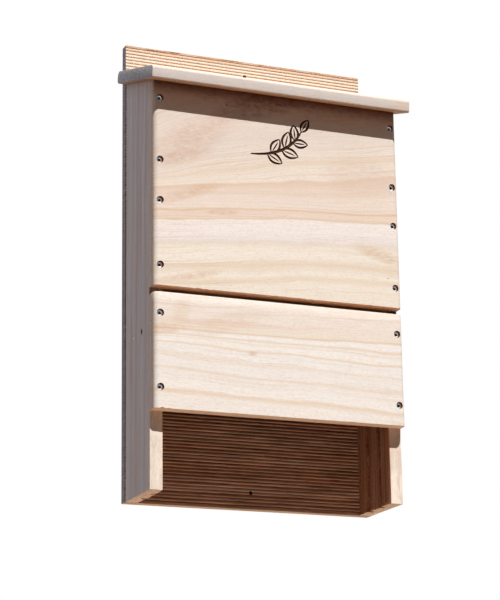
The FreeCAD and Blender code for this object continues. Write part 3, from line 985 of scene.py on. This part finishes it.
upper_front = front_board("upper_front_planed", upper_low, upper_high, upper_poplar, True,
                          [(-107, 2.5, 1.2), (-96, 1.8, 0.8), (40, 2.0, 0.7), (118, 2.2, 0.8)])
lower_front = front_board("lower_front_planed", lower_low, lower_high, lower_poplar, False,
                          [(-152, 2.2, 1.6), (-143, 1.8, 1.2), (-60, 1.6, 0.6), (90, 2.0, 0.7)])
bore_all(upper_front, front_bores[:len(upper_screws)], bored_wood)
bore_all(lower_front, front_bores[len(upper_screws):], bored_wood)
settle(lower_front, "front_board", "lower_front_panel")

# %% [markdown]
# A leafy sprig is carved under the roof, as a maker might do with a V-shaped burner. Each
# line is a stroke: a path with a width that swells and tapers, swept as a V. All the
# strokes are joined in one cutter and taken out of the board in a single cut, which leaves
# real grooves whose walls carry the scorched finish.

# %% Carved sprig
carve_depth = 1.3
above_face = 0.8  # how far the cutter stands out, so the cut is clean


def curve_points(start, bow, end, count=9):
    """Points of a bowed line from start to end."""
    start, bow, end = Vector(start), Vector(bow), Vector(end)
    return [start * (1 - t) ** 2 + bow * 2 * t * (1 - t) + end * t * t
            for t in (i / (count - 1) for i in range(count))]


def stroke(bm, path, width):
    """Sweep a V along a path of (x, z) points on the face of the upper front."""
    rows = []
    for i, point in enumerate(path):
        ahead = path[min(i + 1, len(path) - 1)] - path[max(i - 1, 0)]
        across = Vector((-ahead.y, ahead.x)).normalized()
        swell = 0.35 + 0.65 * math.sin(math.pi * i / (len(path) - 1)) ** 0.6
        half, deep = width / 2 * swell, carve_depth * swell
        wide = half * (deep + above_face) / deep
        left, right = point + across * wide, point - across * wide
        top = upper_low.y - above_face
        rows.append([(left.x, top, left.y), (right.x, top, right.y),
                     (point.x, upper_low.y + deep, point.y)])
    loft(bm, rows)


def leaf(bm, base, angle, length, fat):
    """Two bowed sides that meet at a point, and a midrib."""
    base = Vector(base)
    along = Vector((math.cos(angle), math.sin(angle)))
    across = Vector((-along.y, along.x))
    tip, middle = base + along * length, base + along * length * 0.42
    for side_of in (-1, 1):
        stroke(bm, curve_points(base, middle + across * side_of * fat, tip), 3.1)
    near, far = base + along * length * 0.12, base + along * length * 0.78
    stroke(bm, curve_points(near, middle, far, 5), 2.0)


bm = bmesh.new()
stem = curve_points((-37, 127), (12, 128), (31, 163), 17)
stroke(bm, stem, 4.0)
for joint, length, lean in ((4, 22, 0.78), (8, 23, 0.82), (12, 20, 0.85)):
    ahead = stem[joint + 1] - stem[joint]
    for side_of in (-1, 1):
        heading = math.atan2(ahead.y, ahead.x) + side_of * lean
        leaf(bm, stem[joint + (side_of > 0)], heading, length, length * 0.5)
ahead = stem[-1] - stem[-2]
leaf(bm, stem[-1], math.atan2(ahead.y, ahead.x), 20, 9.0)
cut(upper_front, new_object("sprig", bm, [scorched_and_shaded_wood]), crossing=True)
settle(upper_front, "front_board", "upper_front_panel", smooth=25)

# %% [markdown]
# The roof is drawn as a section across the slope: a bullnosed back edge that sits in its
# housing, and a plumb front edge whose arrises are rounded, the upper one more. Its section
# is carried from end to end, with the ends softened so they don't look like cut plastic.

# %% Roof


def rounded(corners):
    """Outline of (y, z) points through ((y, z), radius) corners, each rounded to its radius."""
    outline = []
    for i, (corner, radius) in enumerate(corners):
        corner = Vector(corner)
        back = (Vector(corners[i - 1][0]) - corner).normalized()
        on = (Vector(corners[(i + 1) % len(corners)][0]) - corner).normalized()
        half = back.angle(on) / 2
        centre = corner + (back + on).normalized() * radius / math.sin(half)
        first, last = (corner + way * radius / math.tan(half) - centre for way in (back, on))
        start, turn = math.atan2(first.y, first.x), first.angle_signed(last)
        for share in steps(0.0, 1.0, 0.15):
            angle = start - turn * share
            outline.append((centre.x + radius * math.cos(angle),
                            centre.y + radius * math.sin(angle)))
    return outline


back_round, low_round, top_round = 6.0, 2.2, 4.8
low_y = roof_low.y + 1.3  # the low arris is set back, as the roof's shadow shows
front_high = underside(roof_low.y) + roof_thickness / math.cos(pitch)
section = rounded([(on_slope(0, 0), back_round), ((low_y, underside(low_y)), low_round),
                   ((roof_low.y, front_high), top_round),
                   (on_slope(0, roof_thickness), back_round)])
bm = bmesh.new()
loft(bm, [[(x, y, z) for y, z in section] for x in steps(roof_low.x, roof_high.x, 20.0)])
ease(bm, 0.7, angle=60)
roof = new_object("roof_board_planed", bm, [roof_poplar])
bore_all(roof, roof_bores, bored_wood)
settle(roof, "roof_wood", "roof_board")

# %% [markdown]
# Screws and nails are made last. Each group is one mesh, as one box of screws would be,
# and each screw is turned by a random angle, because nobody lines up the sockets.

# %% Screws and nails
chance = random.Random(17)
groups = (("upper_front_screws", "upper_panel_screws", upper_screws, into_box),
          ("lower_front_screws", "lower_panel_screws", lower_screws, into_box),
          ("back_screws", "back_board_screws", back_screws, into_front),
          ("roof_fixing_screws", "roof_screws", roof_screws, roof_down))
for name, node, spots, direction in groups:
    bm = bmesh.new()
    for spot in spots:
        place = driven(spot, direction, chance.uniform(0, math.pi))
        faces = turned(bm, screw_profile, place, screw_flats)
        for face in [faces[1]] + faces[-2 * screw_flats:]:
            face.material_index = 1
    settle(new_object(name, bm, [zinc_steel, socket_steel]), "zinc_screw", node)
bm = bmesh.new()
for place in nail_places:
    turned(bm, nail_profile, place)
settle(new_object("baffle_pins", bm, [bright_steel]), "bright_nail", "baffle_nails")

# %% [markdown]
# The box hangs well above the floor, because the photograph looks up at it. The floor is
# pale to the camera and dark brown to every other ray, so it keeps the box's shadow
# without throwing light back up under the roof, where the real box is dark.

# %% Floor
floor_height = -1.75
floor_reach = 30.0


def background_share(add):
    """1 for a ray that shows the background: to the camera, in metal or through glass."""
    rays = add("LightPath").outputs
    seen = add("Math", [rays["Is Camera Ray"], rays["Is Glossy Ray"]], operation="MAXIMUM")
    return add("Math", [seen, rays["Is Transmission Ray"]], operation="MAXIMUM")


floor_paint = bpy.data.materials.new("studio_floor")
add = adder(floor_paint)
tone = add("Mix", {0: background_share(add), 6: linear("#40291C"), 7: linear("#F4F2EF")},
           data_type="RGBA")
add("OutputMaterial", {"Surface": add("BsdfPrincipled", {"Base Color": tone, "Roughness": 0.9})})
bm = bmesh.new()
bmesh.ops.create_grid(bm, x_segments=8, y_segments=8, size=floor_reach * metre)
bmesh.ops.translate(bm, verts=bm.verts, vec=(0, 0, floor_height * metre))
floor = new_object("floor", bm, [floor_paint])
print("floor", floor_height, "m")

# %% [markdown]
# The light is one soft sun, high and in front, as in the open air, and a pale sky for
# fill. The sun's slope sets where the roof's shadow falls on the front. A warm lamp lies
# on the floor below, as sunlit ground would: it lifts the faces that look down and hardly
# touches the upright ones.

# %% Sun and ground
sun_data = bpy.data.lights.new("sun", "SUN")
sun_data.energy = 4.92
sun_data.angle = math.radians(0.8)
sun_data.color = (0.985, 0.985, 1.0)
sun = put("sun", sun_data)
towards_sun = Vector((0.09, -1.0, 1.56))
sun.rotation_euler = towards_sun.to_track_quat("Z", "Y").to_euler()

card_data = bpy.data.lights.new("card", "AREA")
card_data.shape = "DISK"
card_data.size = 0.25
card_data.energy = 8.8
card_data.color = (1.0, 0.76, 0.56)
card = put("card", card_data)
card.location = (0.0, -0.12, floor_height + 0.05)
card.rotation_euler = (math.pi, 0.0, 0.0)
card.visible_camera = False
print("sun strength", sun_data.energy)

# %% [markdown]
# The sky is white to the camera, and dimmer for the light it gives, so shaded faces keep
# their depth. What it gives comes from three sides: a dim brown one ahead of the box, a
# pale one above, and a bluer one behind.

# %% Sky
sky_ahead = (0.14, 0.11, 0.098, 1.0)
sky_above = (0.6, 0.58, 0.56, 1.0)
sky_behind = (0.57, 0.69, 0.94, 1.0)
world = bpy.data.worlds.new("studio_sky")
add = adder(world)
towards = add("SeparateXYZ", [add("TexCoord").outputs["Generated"]]).outputs
tint = sky_ahead
for axis, start, end, colour in ((2, 0.7, 1.0, sky_above), (1, -0.05, 0.35, sky_behind)):
    share = add("MapRange", [towards[axis], start, end], interpolation_type="SMOOTHSTEP")
    tint = add("Mix", {0: share, 6: tint, 7: colour}, data_type="RGBA")
fill = add("Background", {"Color": tint, "Strength": 1.0})
white = add("Background", {"Color": (1.0, 1.0, 1.0, 1.0), "Strength": 1.0})
sky = add("MixShader", [background_share(add), fill, white])
add("OutputWorld", {"Surface": sky})
bpy.context.scene.world = world
print("sky of", len(world.node_tree.nodes), "nodes")

# %% [markdown]
# The camera stands below the box and to its left, far off with a long lens, so upright
# edges stay nearly parallel. Its place and angles were fitted to the corners of the box.

# %% Camera
lens = bpy.data.cameras.new("camera")
lens.lens, lens.sensor_width = 121.5, 36.0
lens.clip_start, lens.clip_end = 0.05, 200.0
camera = put("camera", lens)
camera.location = (-0.9307, -2.2673, -0.7146)
camera.rotation_euler = [math.radians(a) for a in (105.7332, 0.8199, -22.2593)]
bpy.context.scene.camera = camera
bpy.context.scene.view_settings.view_transform = "Standard"
print("camera", [round(v, 3) for v in camera.location])
